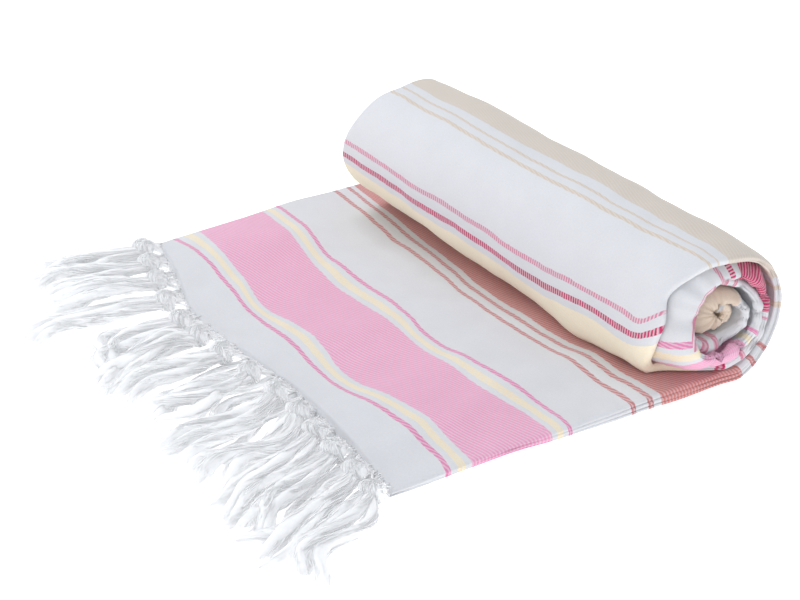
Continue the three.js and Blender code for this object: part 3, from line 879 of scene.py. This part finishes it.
def heading_yarns():
    """Unwoven warp ends: from inside the cloth's edge, closing in to the knot."""
    which = np.repeat(np.arange(len(knot)), HEADING_YARNS)
    n = len(which)
    spot = root[which] + chance.uniform(-HEADING_SPREAD, HEADING_SPREAD, n)
    spot = np.clip(spot, HEADING_FAR, HEADING_NEAR)
    start = np.stack([spot, -(woven_end(spot) - 3.0), chance.uniform(1.5, 5.0, n)], -1)
    end = knot[which] + chance.normal(0, 1.8, (n, 3))
    share = np.linspace(0, 1, YARN_STEPS)[None, :, None]
    line = start[:, None] + (end - start)[:, None] * share ** np.array([1.5, 1.0, 1.0])
    line[..., 2] += np.sin(share[..., 0] * math.pi) * chance.uniform(0, 1.5, (n, 1))
    return line


def tubes(lines, radius, sides, lobes=0.0):
    """Vertices and faces of closed tubes along the centre lines. radius has a value for
    each step. lobes, where given, are three ridges that turn along the tube."""
    n, steps = lines.shape[:2]
    ahead = unit(np.gradient(lines, axis=1))
    one = unit(np.cross(ahead, RING_GUIDE))
    two = np.cross(ahead, one)
    angle = np.arange(sides) * 2 * math.pi / sides
    ring = one[:, :, None] * np.cos(angle)[:, None] + two[:, :, None] * np.sin(angle)[:, None]
    ridge = 1 + lobes * np.sin(3 * angle + np.linspace(0, 14, steps)[:, None])
    verts = lines[:, :, None] + ring * (np.asarray(radius)[:, None] * ridge)[..., None]
    verts[..., 2] = np.maximum(verts[..., 2], 0)
    base = (np.arange(n)[:, None, None] * steps + np.arange(steps - 1)[:, None]) * sides
    j, k = np.arange(sides), (np.arange(sides) + 1) % sides
    quads = np.stack([base + j, base + k, base + sides + k, base + sides + j], -1)
    first = np.arange(n)[:, None] * steps * sides
    caps = np.concatenate([first + j[::-1], first + (steps - 1) * sides + j])
    return verts.reshape(-1, 3), quads.reshape(-1, 4).tolist(), caps.tolist()


def yarn_tubes(lines):
    """Three-sided tubes along the yarns, thinner over their last third."""
    radius = YARN_RADIUS * np.interp(np.linspace(0, 1, YARN_STEPS), [0, 0.65, 1], [1, 1, 0.22])
    return tubes(lines, radius, 3)


def lock_bodies(stops, sizes, sway):
    """The dense inside of each lock, as a soft twisted rope under its yarns."""
    share = np.linspace(0, 1, BODY_STEPS)
    closing = np.sqrt(np.clip((1 - share) / 0.12, 0.01, 1) * np.clip(share / 0.08, 0.01, 1))
    radius = BODY_SHARE * np.interp(share, (0, 0.5, 1), sizes) * closing
    at = np.round(share * BODY_LENGTH * (FINER * BODY_STEPS - 1)).astype(int)
    line = swayed(stops, FINER * BODY_STEPS, sway)[:, at]
    return tubes(line, radius, BODY_SIDES, BODY_LOBES)


def knot_bodies():
    """The dense inside of each knot, as a ball."""
    swing = np.linspace(0, math.pi, 9)
    along_knot = -KNOT_FILL * KNOT_ACROSS * np.cos(swing)
    line = knot[:, None] + np.stack([along_knot, 0 * swing, 0 * swing], -1)
    return tubes(line, KNOT_FILL * KNOT_DEEP * np.maximum(np.sin(swing), 0.05), BODY_SIDES)


def fringe_piece(name, parts):
    """One mesh of all the parts' tubes."""
    verts, faces, count = [], [], 0
    for points_here, quads, caps in parts:
        verts.append(points_here)
        faces += [[v + count for v in face] for face in quads + caps]
        count += len(points_here)
    mesh = bpy.data.meshes.new(name)
    mesh.from_pydata((np.concatenate(verts) * MM).tolist(), [], faces)
    mesh.polygons.foreach_set("use_smooth", np.ones(len(mesh.polygons), bool))
    mesh.update()
    piece = bpy.data.objects.new(name, mesh)
    bpy.context.collection.objects.link(piece)
    piece.data.materials.append(yarn)
    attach(piece, "root")
    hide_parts("fringe")


def white_yarn():
    """Bleached cotton yarn: soft white, a little darker in patches, with the light
    passing partly through. Its faint glow stands for light scattered in the fluff."""
    material, shader = plain_material("white_yarn", (0.96, 0.965, 0.98), 0.85)
    nodes, links = material.node_tree.nodes, material.node_tree.links
    place = nodes.new("ShaderNodeTexCoord")
    patch = nodes.new("ShaderNodeTexNoise")
    patch.inputs["Scale"].default_value = 90.0
    links.new(place.outputs["Object"], patch.inputs["Vector"])
    tone = nodes.new("ShaderNodeValToRGB")
    tone.color_ramp.elements[0].position = 0.3
    tone.color_ramp.elements[0].color = (0.95, 0.95, 0.965, 1.0)
    tone.color_ramp.elements[1].position = 0.7
    tone.color_ramp.elements[1].color = (0.985, 0.99, 1.0, 1.0)
    links.new(patch.outputs["Fac"], tone.inputs["Fac"])
    links.new(tone.outputs["Color"], shader.inputs["Base Color"])
    shader.inputs["Emission Color"].default_value = (0.96, 0.98, 1.0, 1.0)
    shader.inputs["Emission Strength"].default_value = 0.075
    shader.inputs["Subsurface Weight"].default_value = 0.7
    shader.inputs["Subsurface Radius"].default_value = (1.0, 1.0, 1.0)
    shader.inputs["Subsurface Scale"].default_value = 0.002
    shader.inputs["Sheen Weight"].default_value = 0.3
    shader.inputs["Specular IOR Level"].default_value = 0.2
    return material


def lock_sway(count):
    """Each lock's sway: how far in millimetres, how fast and from where in its wave."""
    return np.stack([chance.uniform(3.5, 11, count), chance.uniform(4, 10, count),
                     chance.uniform(0, 6.28, count)], -1)


yarn = white_yarn()
top_stops, low_stops = top_lock_stops(), low_lock_stops()
top_sway, low_sway = lock_sway(len(top_stops)), lock_sway(len(low_stops))
HALVES = (("upper_fringe_far", slice(0, 21)), ("upper_fringe_near", slice(21, 42)))
for name, half_of in HALVES:
    fringe_piece(name, [
        yarn_tubes(yarn_bundle(top_stops[half_of], TOP_YARNS, TOP_SIZE, top_sway[half_of])),
        lock_bodies(top_stops[half_of], TOP_SIZE, top_sway[half_of])])
fringe_piece("lower_fringe", [yarn_tubes(yarn_bundle(low_stops, LOW_YARNS, LOW_SIZE, low_sway)),
                              lock_bodies(low_stops, LOW_SIZE, low_sway)])
fringe_piece("fringe_knots", [yarn_tubes(np.concatenate([heading_yarns(), knot_yarns()])),
                              knot_bodies()])
